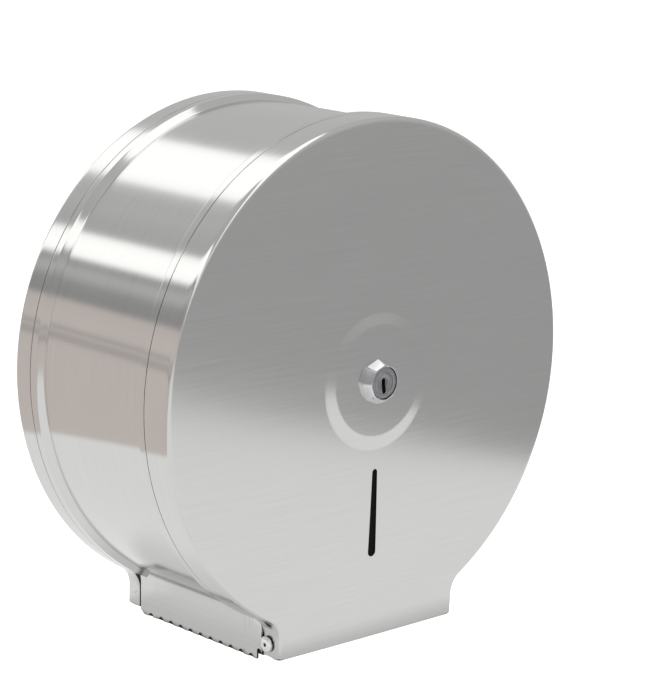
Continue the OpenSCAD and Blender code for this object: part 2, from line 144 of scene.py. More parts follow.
def blend(tree, share, first, second):
    node = add(tree, "ShaderNodeMixRGB")
    tree.links.new(share, node.inputs[0])
    for socket, colour in zip(node.inputs[1:], (first, second)):
        if isinstance(colour, bpy.types.NodeSocket):
            tree.links.new(colour, socket)
        else:
            socket.default_value = (*colour, 1)
    return node.outputs[0]


def grey(value, warm=0.0):
    return (value * (1 + warm), value, value * (1 - warm / 2))


def pink(value):
    return (value * 1.07, value * 0.975, value * 0.94)


# Studio

floor_drop, floor_size = 0.45, 40
floor_grey, floor_lift = 0.8, 0.34
# The table's glow, and the painted contact shade under the mouth that the table and the contact card carry
table_drop, table_size = 0.141, 12
table_grey, painted_contact_shade = 0.99, 0.06
card_margin, card_gap = 4 * mm, 0.2 * mm


def stage_plane(name, size, place, finish):
    """A level plane of the studio, with a material of its own."""
    bpy.ops.mesh.primitive_plane_add(size=size, location=place)
    plane = bpy.context.object
    plane.name = name
    material = bpy.data.materials.new(finish)
    material.use_nodes = True
    plane.data.materials.append(material)
    return plane, material.node_tree


def split_camera(tree, output, others, camera):
    """One shader for the camera's own rays and another for all others."""
    mix = add(tree, "ShaderNodeMixShader")
    tree.links.new(add(tree, "ShaderNodeLightPath").outputs["Is Camera Ray"], mix.inputs[0])
    tree.links.new(others.outputs[0], mix.inputs[1])
    tree.links.new(camera.outputs[0], mix.inputs[2])
    tree.links.new(mix.outputs[0], add(tree, output).inputs["Surface"])


def make_floor():
    """The pale floor that the camera sees, with the object's shadow on it."""
    tree = stage_plane("floor", floor_size, (0, 0, -floor_drop), "floor_pale")[1]
    tree.nodes.clear()
    pale_surface = add(tree, "ShaderNodeBsdfDiffuse")
    pale_surface.inputs["Color"].default_value = (*grey(floor_grey), 1)
    lift = add(tree, "ShaderNodeEmission")
    lift.inputs["Strength"].default_value = floor_lift
    seen = add(tree, "ShaderNodeAddShader")
    tree.links.new(pale_surface.outputs[0], seen.inputs[0])
    tree.links.new(lift.outputs[0], seen.inputs[1])
    split_camera(tree, "ShaderNodeOutputMaterial", pale_surface, seen)


def past(tree, value, reach):
    """How far a value lies beyond plus or minus reach."""
    beyond = math_node(tree, "SUBTRACT", math_node(tree, "ABSOLUTE", value), reach)
    return math_node(tree, "MAXIMUM", beyond, 0)


def past_line(tree, x, y, lean, start, end):
    """Rises from 0 to 1 between two slanting lines on the table."""
    place = math_node(tree, "SUBTRACT", x, math_node(tree, "MULTIPLY", y, lean))
    return remap(tree, place, start, end, 0, 1, smooth=True)


def make_table():
    """The work table under the mouth, which only the metal sees: a glowing stand-in for the lit table, with
    a painted contact shadow where the mouth stands on it, and greyer past its right edge and towards the
    back on the left."""
    table, tree = stage_plane("table", table_size, (0, 0, -table_drop), "table_glow_painted_shadow")
    for ray in ("camera", "diffuse", "shadow", "transmission", "volume_scatter"):
        setattr(table, "visible_" + ray, False)
    tree.nodes.clear()
    split = add(tree, "ShaderNodeSeparateXYZ")
    tree.links.new(add(tree, "ShaderNodeTexCoord").outputs["Object"], split.inputs[0])
    x, y = split.outputs["X"], split.outputs["Y"]
    to_right = past_line(tree, x, y, 0.343, 0.4, 0.45)
    to_left = past_line(tree, x, y, 0.8, -0.35, -0.376)
    across = past(tree, x, mouth_half)
    along = past(tree, math_node(tree, "ADD", y, plateau / 2), plateau / 2)
    along = math_node(tree, "MULTIPLY", along, 3)
    gap = math_node(tree, "SQRT", math_node(tree, "ADD", math_node(tree, "MULTIPLY", across, across),
                                            math_node(tree, "MULTIPLY", along, along)))
    # Painted contact shadow under the mouth: darkest in its footprint, mostly gone 5 mm out, gone by 70 mm,
    # three times quicker in front and behind
    near_reach, far_reach, near_share = 0.005, 0.07, 0.72
    near = remap(tree, gap, 0, near_reach, 0, near_share, smooth=True)
    far = remap(tree, gap, near_reach, far_reach, 0, 1 - near_share, smooth=True)
    lit = blend(tree, math_node(tree, "ADD", near, far), grey(painted_contact_shade), grey(table_grey))
    sided = blend(tree, to_right, lit, grey(0.46, -0.012))
    glow = add(tree, "ShaderNodeEmission")
    tree.links.new(blend(tree, to_left, sided, pink(0.68)), glow.inputs["Color"])
    tree.links.new(glow.outputs[0], add(tree, "ShaderNodeOutputMaterial").inputs["Surface"])


def make_contact_card():
    """Keeps light out of the mouth, as the table does that it stands on. Its near-black colour is painted
    shade:
    the table in the mouth's shadow, as the metal sees it.
    """
    place = (0, -plateau / 2, -table_drop - card_gap)
    card, tree = stage_plane("contact_card", 1, place, "contact_painted_shade")
    card.scale = (2 * (mouth_half + card_margin), plateau, 1)
    card.visible_camera = False
    shader = tree.nodes["Principled BSDF"]
    # Near-black: painted shade of the table under the mouth
    shader.inputs["Base Color"].default_value = (*grey(painted_contact_shade), 1)
    shader.inputs["Roughness"].default_value = 1


# Brightness of the studio round the axis of the drum, as degrees from straight up towards the left
studio_bands = [(-180, grey(0.6)), (-100, grey(0.5)), (-75, grey(0.6)), (-40, grey(0.64)),
                (-22.5, grey(0.62)), (-21.4, grey(1.6)), (8.2, grey(1.6)), (9.2, grey(0.7)),
                (16, grey(0.6)), (24, grey(0.62)), (38.8, grey(0.52)), (39.6, grey(1.6)), (51.4, grey(1.6)),
                (52.4, grey(0.4)), (55, grey(0.44)), (58, grey(0.62)), (61, grey(0.56)), (64, grey(0.4)),
                (71, grey(0.36)), (73, pink(0.66)), (84, pink(0.7)), (85.8, pink(0.44)),
                (86.6, grey(1)), (87.6, pink(0.5)), (98, pink(0.52)), (180, pink(0.6))]


def make_world():
    """A white backdrop for the camera, and soft boxes over a grey room for everything else."""
    world = bpy.data.worlds.new("studio")
    bpy.context.scene.world = world
    world.use_nodes = True
    tree = world.node_tree
    tree.nodes.clear()
    way = add(tree, "ShaderNodeTexCoord").outputs["Generated"]
    split = add(tree, "ShaderNodeSeparateXYZ")
    tree.links.new(way, split.inputs[0])
    left = math_node(tree, "MULTIPLY", split.outputs["X"], -1)
    turn = math_node(tree, "ARCTAN2", left, split.outputs["Z"])
    share = remap(tree, turn, -math.pi, math.pi, 0, 1)
    stops = [((degrees + 180) / 360, colour) for degrees, colour in studio_bands]
    room = add(tree, "ShaderNodeBackground")
    tree.links.new(ramp(tree, share, stops), room.inputs["Color"])
    plain = add(tree, "ShaderNodeBackground")
    split_camera(tree, "ShaderNodeOutputWorld", room, plain)


def make_softbox(name, place, size, watts):
    """A square lamp that points at the drum's axis and shows in no reflection."""
    data = bpy.data.lights.new(name, "AREA")
    data.shape = "SQUARE"
    data.size = size
    data.energy = watts
    lamp = bpy.data.objects.new(name, data)
    bpy.context.scene.collection.objects.link(lamp)
    lamp.location = place
    lamp.rotation_euler = (-Vector(place)).to_track_quat("-Z", "Y").to_euler()
    lamp.visible_glossy = False


def make_studio():
    bpy.context.scene.view_settings.view_transform = "Standard"
    make_floor()
    make_table()
    make_contact_card()
    make_world()
    make_softbox("softbox_front", (-1.2, -2.2, 1.6), 1.6, 22)
    make_softbox("softbox_top", (0.3, 0.2, 2.2), 1.4, 18)


# Materials

skin_depth = 0.02 * mm


def surface(name, colour, metallic, roughness):
    material = bpy.data.materials.new(name)
    material.use_nodes = True
    tree = material.node_tree
    shader = tree.nodes["Principled BSDF"]
    shader.inputs["Base Color"].default_value = (*colour, 1)
    shader.inputs["Metallic"].default_value = metallic
    shader.inputs["Roughness"].default_value = roughness
    return material, tree, shader


def around_axis(tree):
    """Object coordinates unrolled round the drum axis: arc length and depth."""
    split = add(tree, "ShaderNodeSeparateXYZ")
    tree.links.new(add(tree, "ShaderNodeTexCoord").outputs["Object"], split.inputs[0])
    turn = math_node(tree, "ARCTAN2", split.outputs["X"], split.outputs["Z"])
    join = add(tree, "ShaderNodeCombineXYZ")
    tree.links.new(math_node(tree, "MULTIPLY", turn, rim_r), join.inputs["X"])
    tree.links.new(split.outputs["Y"], join.inputs["Y"])
    return join.outputs[0]


def noise(tree, place, scale, detail=2.0):
    """Soft noise, with scale as its cells per metre each way."""
    stretch = add(tree, "ShaderNodeMapping")
    stretch.inputs["Scale"].default_value = scale
    tree.links.new(place, stretch.inputs["Vector"])
    texture = add(tree, "ShaderNodeTexNoise")
    texture.inputs["Scale"].default_value = 1
    texture.inputs["Detail"].default_value = detail
    tree.links.new(stretch.outputs[0], texture.inputs["Vector"])
    return texture.outputs["Fac"]


def weigh(tree, *parts):
    """The sum of some values, each times its weight."""
    total = 0
    for value, weight in parts:
        total = math_node(tree, "ADD", math_node(tree, "MULTIPLY", value, weight), total)
    return total


def tint(tree, shader, factor, colour, change):
    """The base colour wanders a little on both sides of the written one."""
    low = tuple(c * (1 - change) for c in colour)
    high = tuple(min(1, c * (1 + change)) for c in colour)
    tree.links.new(ramp(tree, factor, [(0.25, low), (0.75, high)]), shader.inputs["Base Color"])


def bump(tree, shader, height, strength, depth):
    node = add(tree, "ShaderNodeBump")
    node.inputs["Strength"].default_value = strength
    node.inputs["Distance"].default_value = depth
    tree.links.new(height, node.inputs["Height"])
    tree.links.new(node.outputs[0], shader.inputs["Normal"])


def brushed_steel(name, colour, roughness, anisotropy):
    """Sheet brushed along V of the piece's own grain map."""
    material, tree, shader = surface(name, colour, 1, roughness)
    grain = add(tree, "ShaderNodeUVMap", uv_map="grain").outputs[0]
    hair = noise(tree, grain, (2600, 22, 1), detail=3)
    streak = noise(tree, grain, (420, 9, 1), detail=2)
    cloud = noise(tree, grain, (26, 14, 1), detail=3)
    mixed = weigh(tree, (hair, 0.6), (streak, 0.2), (cloud, 0.2))
    tint(tree, shader, mixed, colour, 0.05)
    rough = remap(tree, mixed, 0.3, 0.7, roughness * 0.85, roughness * 1.15)
    tree.links.new(rough, shader.inputs["Roughness"])
    bump(tree, shader, hair, 0.12, skin_depth)
    shader.inputs["Anisotropic"].default_value = anisotropy
    tangent = add(tree, "ShaderNodeTangent", direction_type="UV_MAP", uv_map="grain")
    tree.links.new(tangent.outputs[0], shader.inputs["Tangent"])
    return material


def mill_steel(name, colour, roughness):
    """Plain mill-finish sheet with faint rolling lines and a few scuffs."""
    material, tree, shader = surface(name, colour, 1, roughness)
    unrolled = around_axis(tree)
    lines = noise(tree, unrolled, (30, 1500, 1), detail=3)
    cloud = noise(tree, unrolled, (60, 90, 60), detail=4)
    mixed = weigh(tree, (lines, 0.5), (cloud, 0.5))
    tint(tree, shader, mixed, colour, 0.08)
    rough = remap(tree, cloud, 0.3, 0.7, roughness * 0.8, roughness * 1.25)
    tree.links.new(rough, shader.inputs["Roughness"])
    bump(tree, shader, lines, 0.1, skin_depth)
    return material


def small_metal(name, colour, roughness, change=0.05, pits=0.06):
    """Cast, plated or drawn small parts, with a fine skin and handling marks."""
    material, tree, shader = surface(name, colour, 1, roughness)
    place = add(tree, "ShaderNodeTexCoord").outputs["Object"]
    skin = noise(tree, place, (1800, 1800, 1800), detail=3)
    cloud = noise(tree, place, (220, 220, 220), detail=3)
    tint(tree, shader, cloud, colour, change)
    rough = remap(tree, cloud, 0.3, 0.7, roughness * 0.75, roughness * 1.3)
    tree.links.new(rough, shader.inputs["Roughness"])
    bump(tree, shader, skin, pits, skin_depth)
    return material


def moulded_plastic(name, colour, roughness, gloss=0.5):
    """Moulded plastic with a fine spark-eroded grain."""
    material, tree, shader = surface(name, colour, 0, roughness)
    shader.inputs["Specular IOR Level"].default_value = gloss
    place = add(tree, "ShaderNodeTexCoord").outputs["Object"]
    spark = noise(tree, place, (2400, 2400, 2400), detail=2)
    cloud = noise(tree, place, (45, 45, 45), detail=3)
    tint(tree, shader, cloud, colour, 0.03)
    rough = remap(tree, spark, 0.3, 0.7, roughness * 0.85, roughness * 1.15)
    tree.links.new(rough, shader.inputs["Roughness"])
    bump(tree, shader, spark, 0.15, 1.5 * skin_depth)
    return material


def make_materials():
    return {
        "sheet": brushed_steel("steel_brushed", (0.63, 0.63, 0.615), 0.13, 0.8),
        "inner": mill_steel("steel_mill", (0.58, 0.58, 0.57), 0.3),
        "rivet": small_metal("rivet_aluminium", (0.86, 0.855, 0.84), 0.26),
        "chrome": small_metal("lock_chrome", (0.7, 0.7, 0.71), 0.08, change=0.02, pits=0.01),
        "plug": small_metal("plug_satin", (0.34, 0.34, 0.35), 0.3),
        "zinc": small_metal("zinc_plate", (0.66, 0.67, 0.7), 0.28),
        "hub": moulded_plastic("hub_plastic", (0.84, 0.84, 0.82), 0.42),
        # The washers' black plastic, which also dresses the black films behind the cutter plates as painted
        # shade
        "washer": moulded_plastic("washer_plastic", (0.012, 0.012, 0.013), 0.6),
        # Near-black with little gloss: painted shade seen through the window
        "window": moulded_plastic("window_strip_painted_shade", (0.004, 0.004, 0.004), 0.7, gloss=0.08),
        "stub": small_metal("mandrel_steel", (0.03, 0.03, 0.03), 0.6),
    }


# Modelling helpers

def pick(*objects):
    bpy.ops.object.select_all(action="DESELECT")
    for obj in objects:
        obj.select_set(True)
    bpy.context.view_layer.objects.active = objects[0]


def edit(obj, mode="VERT"):
    pick(obj)
    bpy.ops.object.mode_set(mode="EDIT")
    bpy.ops.mesh.select_mode(type=mode)
    bpy.ops.mesh.select_all(action="SELECT")


def choose(obj, mode, wanted):
    """Selects the edges or faces whose corners are all wanted, and stays in edit mode."""
    edit(obj, mode)
    mesh = bmesh.from_edit_mesh(obj.data)
    for part in mesh.edges if mode == "EDGE" else mesh.faces:
        part.select_set(all(wanted(corner.co) for corner in part.verts))
    bmesh.update_edit_mesh(obj.data)


def leave():
    bpy.ops.object.mode_set(mode="OBJECT")


def settle(obj):
    """Puts the object's place, turn and size into its mesh."""
    pick(obj)
    bpy.ops.object.transform_apply(location=True, rotation=True, scale=True)


def apply_modifier(obj, kind, **settings):
    pick(obj)
    modifier = obj.modifiers.new(kind.lower(), kind)
    for name, value in settings.items():
        setattr(modifier, name, value)
    bpy.ops.object.modifier_apply(modifier=modifier.name)


def cut(obj, cutter, operation="DIFFERENCE"):
    apply_modifier(obj, "BOOLEAN", operation=operation, object=cutter, solver="EXACT")
    bpy.data.objects.remove(cutter)


def join(name, *objects):
    pick(*objects)
    bpy.ops.object.join()
    objects[0].name = objects[0].data.name = name
    return objects[0]


def rod(radius, start, end, sides=64):
    """A straight cylinder between two points."""
    start, end = Vector(start), Vector(end)
    way = end - start
    turn = way.to_track_quat("Z", "Y").to_euler()
    bpy.ops.mesh.primitive_cylinder_add(vertices=sides, radius=radius, depth=way.length,
                                        location=(start + end) / 2, rotation=turn)
    obj = bpy.context.object
    settle(obj)
    return obj


def at(x, depth, z):
    """A point given as across, depth from the wall and up."""
    return Vector((x, -depth, z))


def slab(low, high):
    """A block given as two corners in across, depth and up."""
    low, high = at(*low), at(*high)
    bpy.ops.mesh.primitive_cube_add(size=1, location=(low + high) / 2)
    obj = bpy.context.object
    obj.scale = (high.x - low.x, low.y - high.y, high.z - low.z)
    settle(obj)
    return obj


def pin(radius, start, end, depth, drop, sides=64):
    """A rod that lies across, from start to end."""
    return rod(radius, at(start, depth, -drop), at(end, depth, -drop), sides)


def both(side, near, far):
    """Two places across, lowest first, on the side given as -1 or 1."""
    return sorted((side * near, side * far))


def mirror_left(obj, side):
    """Turns a right-hand piece into its left-hand twin where side is negative."""
    if side < 0:
        obj.data.transform(Matrix.Scale(-1, 4, (1, 0, 0)))
        edit(obj)
        bpy.ops.mesh.flip_normals()
        leave()


def loft(name, spokes, rings, point, closed=True, start=None, end=None):
    """A sheet drawn from ring to ring: point(spoke, ring) is where each corner lies.

    start and end may be "fill", for a flat end face.
    """
    bpy.ops.object.select_all(action="DESELECT")
    bpy.ops.mesh.primitive_circle_add(vertices=spokes, radius=rim_r)
    obj = bpy.context.object
    obj.name = obj.data.name = name
    edit(obj)
    mesh = bmesh.from_edit_mesh(obj.data)
    number = mesh.verts.layers.int.new("spoke")
    for index, corner in enumerate(mesh.verts):
        corner[number] = index
    bmesh.update_edit_mesh(obj.data)
    if not closed:
        for corner in mesh.verts:
            corner.select_set(corner[number] in (0, spokes - 1))
        mesh.select_flush(False)
        for line in mesh.edges:
            line.select_set(all(c[number] in (0, spokes - 1) for c in line.verts))
        bmesh.update_edit_mesh(obj.data)
        bpy.ops.mesh.delete(type="EDGE")
        bpy.ops.mesh.select_all(action="SELECT")
    for index, ring in enumerate(rings):
        if index:
            bpy.ops.mesh.extrude_region_move()
        mesh = bmesh.from_edit_mesh(obj.data)
        number = mesh.verts.layers.int["spoke"]
        for corner in mesh.verts:
            if corner.select:
                corner.co = point(corner[number], ring)
        bmesh.update_edit_mesh(obj.data)
        if index == 0 and start == "fill":
            bpy.ops.mesh.edge_face_add()
            bpy.ops.mesh.select_all(action="DESELECT")
            mesh = bmesh.from_edit_mesh(obj.data)
            for line in mesh.edges:
                line.select_set(True)
            bmesh.update_edit_mesh(obj.data)
    if end == "fill":
        bpy.ops.mesh.edge_face_add()
    leave()
    return obj


def face_way(obj, outward):
    """Turns all faces so that outward(face) is positive."""
    edit(obj)
    bpy.ops.mesh.remove_doubles(threshold=0.001 * mm)
    bpy.ops.mesh.normals_make_consistent(inside=False)
    leave()
    total = sum(outward(face) * face.area for face in obj.data.polygons)
    if total < 0:
        edit(obj)
        bpy.ops.mesh.flip_normals()
        leave()


def thicken(obj, offset=-1):
    """Gives a drawn sheet its thickness, inwards unless offset is 1."""
    apply_modifier(obj, "SOLIDIFY", thickness=sheet, offset=offset, use_even_offset=True)


def soften(obj, width, segments=2, angle=50):
    """Rounds the sharp edges."""
    apply_modifier(obj, "BEVEL", width=width, segments=segments, limit_method="ANGLE",
                   angle_limit=math.radians(angle), use_clamp_overlap=True)


def smooth(obj, angle=32):
    pick(obj)
    bpy.ops.object.shade_smooth_by_angle(angle=math.radians(angle))


def grain_map(obj, along_depth=False):
    """The grain map: V follows the brushing, which is level on the flat faces and runs round the rims.

    With along_depth it runs from back to front all over.
    """
    layer = obj.data.uv_layers.get("grain") or obj.data.uv_layers.new(name="grain")
    obj.data.uv_layers.active = layer
    for face in obj.data.polygons:
        level = abs(face.normal.y) > 0.8
        base = math.atan2(face.center.x, face.center.z)
        for loop in face.loop_indices:
            spot = obj.data.vertices[obj.data.loops[loop].vertex_index].co
            if along_depth:
                uv = (spot.z, spot.y)
            elif level:
                uv = (spot.z, spot.x)
            else:
                turn = math.atan2(spot.x, spot.z)
                turn += math.tau * round((base - turn) / math.tau)
                uv = (spot.y, turn * rim_r)
            layer.data[loop].uv = uv


def dress(obj, body, slot, material, *nodes):
    """Gives a finished piece its material, its body and the CAD nodes that it stands for."""
    obj.data.materials.clear()
    obj.data.materials.append(material)
    if "spoke" in obj.data.attributes:
        obj.data.attributes.remove(obj.data.attributes["spoke"])
    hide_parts(*nodes)
    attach(obj, body)


# Shapes that more than one piece follows

def crown_depth(radius):
    return front_centre - crown_h * (radius / rim_r) ** 2


def aim(turn):
    return Vector((math.cos(turn), math.sin(turn)))


def dish_spokes():
    """Places round the dishes' outline, each with the direction that leads into the sheet."""
    spokes = []
    foot_steps, corner_steps, flank_steps, shoulder_steps, round_steps = 24, 5, 4, 8, 168
    foot_half = mouth_half - corner_r
    for i in range(foot_steps + 1):
        x = foot_half * (2 * i / foot_steps - 1)
        spokes.append((Vector((x, -mouth_drop)), Vector((-x / foot_half, 0))))
    for i in range(1, corner_steps):
        way = aim(-math.pi / 2 * (1 - i / corner_steps))
        spokes.append((Vector((foot_half, corner_r - mouth_drop)) + way * corner_r, Vector((-1, 0))))
    rise = mouth_drop - corner_r - shoulder_drop
    for i in range(flank_steps):
        z = -shoulder_drop - rise * (1 - i / flank_steps)
        spokes.append((Vector((mouth_half, z)), Vector((-1, 0))))
    meet = math.atan2(shoulder_drop, -shoulder_x)
    for i in range(shoulder_steps):
        way = aim(math.pi + (meet - math.pi) * i / shoulder_steps)
        spokes.append((Vector((shoulder_x, -shoulder_drop)) + way * shoulder_r, way))
    first = math.atan2(-shoulder_drop, shoulder_x)
    for i in range(round_steps + 1):
        way = aim(first + (math.pi - 2 * first) * i / round_steps)
        spokes.append((way * rim_r, -way))
    for i in range(shoulder_steps):
        way = aim(math.pi - meet - (math.pi - meet) * (i + 1) / shoulder_steps)
        spokes.append((Vector((-shoulder_x, -shoulder_drop)) + way * shoulder_r, way))
    for i in range(1, flank_steps + 1):
        spokes.append((Vector((-mouth_half, -shoulder_drop - rise * i / flank_steps)), Vector((1, 0))))
    for i in range(1, corner_steps):
        way = aim(math.pi / 2 * (2 + i / corner_steps))
        spokes.append((Vector((-foot_half, corner_r - mouth_drop)) + way * corner_r, Vector((1, 0))))
    return spokes


outline = dish_spokes()


def open_mouth(obj):
    """Takes away what the loft drew across the mouth's lower side."""
    choose(obj, "FACE", lambda co: co.z < 0.01 * mm - mouth_drop)
    bpy.ops.mesh.delete(type="FACE")
    leave()


def ease(share):
    return share * share * (3 - 2 * share)


def slope_share(share, soft=0.16):
    """A straight slope from 0 to 1 with a short round at each end."""
    share = max(0, min(1, share))
    pace = 1 / (1 - soft)
    if share < soft:
        return pace * share ** 2 / (2 * soft)
    if share > 1 - soft:
        return 1 - pace * (1 - share) ** 2 / (2 * soft)
    return pace * (share - soft / 2)


def toward_circle(spoke, inset, radius, share):
    """Between the outline, drawn in by inset, and a circle."""
    place, inward = outline[spoke]
    edge = place + inward * inset
    return edge.lerp(edge.normalized() * radius, share)


# Front cover

bend_r = 2.2 * mm
ring_foot_r, ring_top_r = 36.5 * mm, 28.5 * mm
lock_hole_r = 9.55 * mm
window_top_drop, window_len = 48.3 * mm, 42.8 * mm
window_top_w, window_foot_w = 3.4 * mm, 5.3 * mm
pocket_front, pocket_top = plate_front + plate_gap, plate_top - sheet - plate_gap
pocket_corner = 3.3 * mm
arch_h, arch_half = 0.9 * mm, 6 * mm
hinge_bore_r = 2.1 * mm
edge_round = 0.1 * mm


def cover_rings():
    rings = [("rim", cover_back + share * mm) for share in (0, 0.3, 6, 12, 14)]
    rings += [("bend", i / 7) for i in range(8)]
    rings += [("face", share) for share in (0.008, 0.04)] + [("face", i / 12) for i in range(1, 12)]
    rings += [("circle", r * mm) for r in (42, 36.9)]
    rings += [("slope", share) for share in (0, 0.05, 0.1, 0.16, 0.24, 0.5, 0.76, 0.84, 0.9, 0.95, 1)]
    rings += [("circle", r * mm) for r in (28.1, 24, 19, 14, 11)] + [("circle", lock_hole_r)]
    return rings


def cover_point(spoke, ring):
    kind, value = ring
    place, inward = outline[spoke]
    if kind == "rim":
        return at(place.x, value, place.y)
    if kind == "bend":
        turn = value * math.pi / 2
        flat = place + inward * bend_r * (1 - math.cos(turn))
        edge = crown_depth((place + inward * bend_r).length)
        return at(flat.x, edge - bend_r * (1 - math.sin(turn)), flat.y)
    if kind == "face":
        flat = toward_circle(spoke, bend_r, 46 * mm, value)
        return at(flat.x, crown_depth(flat.length), flat.y)
    if kind == "slope":
        radius = ring_foot_r + (ring_top_r - ring_foot_r) * value
        foot = crown_depth(ring_foot_r)
        depth = foot + (plateau - foot) * slope_share(value)
        flat = place.normalized() * radius
        return at(flat.x, depth, flat.y)
    flat = place.normalized() * value
    depth = plateau if value < ring_top_r else crown_depth(value)
    return at(flat.x, depth, flat.y)


def window_cutter():
    bpy.ops.mesh.primitive_cylinder_add(vertices=48, radius=1, depth=20 * mm, location=at(0, plateau, 0),
                                        rotation=(math.pi / 2, 0, 0))
    cutter = bpy.context.object
    settle(cutter)
    for corner in cutter.data.vertices:
        upper = corner.co.z > -0.001
        half = (window_top_w if upper else window_foot_w) / 2
        drop = window_top_drop + (0 if upper else window_len)
        corner.co.x *= half
        corner.co.z = corner.co.z * half - drop
    return cutter


def dish_core(low, high):
    """The solid that the cover's outline encloses between two depths."""
    core = loft("core", len(outline), [("rim", low), ("rim", high)], cover_point, start="fill", end="fill")
    face_way(core, lambda face: face.normal.dot(face.center - at(0, (low + high) / 2, 0)))
    return core


def make_front_cover(materials):
    cover = loft("front_cover_shell", len(outline), cover_rings(), cover_point)
    face_way(cover, lambda face: -face.normal.y)
    open_mouth(cover)
    thicken(cover)
    flank_in, far = mouth_half - sheet, mouth_half + shoulder_r
    arch_r = (arch_half ** 2 + arch_h ** 2) / (2 * arch_h)
    for side in (-1, 1):
        inner, outer = both(side, flank_in, far)
        walls = dish_core(cover_back, pocket_front + sheet)
        cut(walls, slab((inner, cover_back - mm, -shoulder_drop - 0.5 * mm),
                        (outer, pocket_front + 2 * sheet, sheet - pocket_top)), "INTERSECT")
        cut(cover, walls, "UNION")
        inner, outer = both(side, mouth_half, far)
        pocket = slab((inner, cover_back - mm, -shoulder_drop), (outer, pocket_front, -pocket_top))
        choose(pocket, "EDGE", lambda co: co.z > -pocket_top - mm and co.y < mm - pocket_front)
        bpy.ops.mesh.bevel(offset=pocket_corner, segments=6)
        leave()
        cut(cover, pocket)
        start, end = side * (mouth_half - 5 * mm), side * (mouth_half + 1.5 * mm)
        cut(cover, pin(hinge_bore_r, start, end, pivot_depth, pivot_drop))
        cut(cover, pin(arch_r, start, end, pivot_depth, mouth_drop + arch_r - arch_h, 192))
    cut(cover, window_cutter())
    soften(cover, edge_round)
    smooth(cover)
    grain_map(cover)
    dress(cover, "cover", "brushed_sheet", materials["sheet"], "front_cover")


def make_window_strip(materials):
    """A near-black strip behind the window, which follows the crown of the face: painted shade that stands
    in for the dark inside of the housing.
    """
    half, thickness, overlap, steps = 6 * mm, 0.8 * mm, 5 * mm, 16
    section = [(-1, 0.15), (-0.97, 0), (0.97, 0), (1, 0.15), (1, 0.85), (0.97, 1), (-0.97, 1), (-1, 0.85)]
    length = window_len + 2 * overlap
    drops = [window_top_drop - overlap + length * i / steps for i in range(steps + 1)]

    def point(spoke, drop):
        across, through = section[spoke]
        return at(across * half, crown_depth(drop) - sheet - through * thickness, -drop)

    strip = loft("window_strip", len(section), drops, point, start="fill", end="fill")
    face_way(strip, lambda face: 1)
    dress(strip, "cover", "washer_plastic", materials["window"])


# Rear dish

wall_bend_r = 2.2 * mm
pad_r, pad_h = 50 * mm, 2 * mm
screw_x, screw_z, screw_r = 70 * mm, 60 * mm, 3 * mm
flank_front, flank_top = 10.5 * mm, 118 * mm
weld_depth, weld_drop, weld_r, weld_h = 7.7 * mm, 130.8 * mm, 0.9 * mm, 0.85 * mm


def dish_point(spoke, ring):
    kind, value = ring
    place, inward = outline[spoke]
    if kind == "rim":
        return at(place.x, value, place.y)
    if kind == "bend":
        turn = value * math.pi / 2
        flat = place + inward * wall_bend_r * (1 - math.cos(turn))
        return at(flat.x, wall_bend_r * (1 - math.sin(turn)), flat.y)
    if kind == "face":
        flat = toward_circle(spoke, wall_bend_r, 60 * mm, value)
        return at(flat.x, 0, flat.y)
    if kind == "slope":
        flat = place.normalized() * (pad_r + 2.6 * mm - 3.2 * mm * value)
        return at(flat.x, pad_h * ease(value), flat.y)
    flat = place.normalized() * value
    return at(flat.x, pad_h, flat.y)


def make_back_plate(materials):
    rings = [("rim", rear_rim - share * mm) for share in (0, 0.3, 5, 9.8)]
    rings += [("bend", i / 6) for i in range(7)]
    rings += [("face", i / 6) for i in range(1, 7)]
    rings += [("slope", i / 6) for i in range(7)]
    rings += [("pad", r * mm) for r in (40, 26, 12, 4)]
    plate = loft("back_plate_dish", len(outline), rings, dish_point, end="fill")
    face_way(plate, lambda face: face.normal.y)
    open_mouth(plate)
    thicken(plate)
    for x in (-screw_x, screw_x):
        for z in (-screw_z, screw_z):
            cut(plate, rod(screw_r, at(x, -3 * mm, z), at(x, 3 * mm, z), 40))
    for side in (-1, 1):
        inner, outer = both(side, mouth_half - 4 * mm, mouth_half + shoulder_r + 6 * mm)
        cut(plate, slab((inner, flank_front, -mouth_drop - mm), (outer, rear_rim + mm, -flank_top)))
        weld = at(side * (mouth_half + 0.7 * mm), weld_depth, -weld_drop)
        cut(plate, rod(weld_r, weld, weld - at(side * weld_h, 0, 0), 24))
    soften(plate, edge_round)
    smooth(plate)
    grain_map(plate)
    dress(plate, "housing", "brushed_sheet", materials["sheet"], "back_plate")


# Drum shell

lip_w, step_w, step_h = 4.6 * mm, 3.6 * mm, 3 * mm
tab_in = plate_in - sheet
tab_inset, tab_top, tab_foot = 12 * mm, 116.8 * mm, 128.5 * mm
drum_spokes = 190


def drum_radius(depth):
    """Radius of the drum's outer side at a depth."""
    back = (depth - (shell_back + lip_w)) / step_w
    front = (shell_front - lip_w - depth) / step_w
    return rim_r - step_h * slope_share(min(back, front))


def drum_point(spoke, depth):
    radius = drum_radius(depth)
    first = math.asin(tab_in / radius) - math.pi / 2
    share = spoke / (drum_spokes - 1)
    turn = first + (math.pi - 2 * first) * share
    return at(radius * math.cos(turn), depth, radius * math.sin(turn))


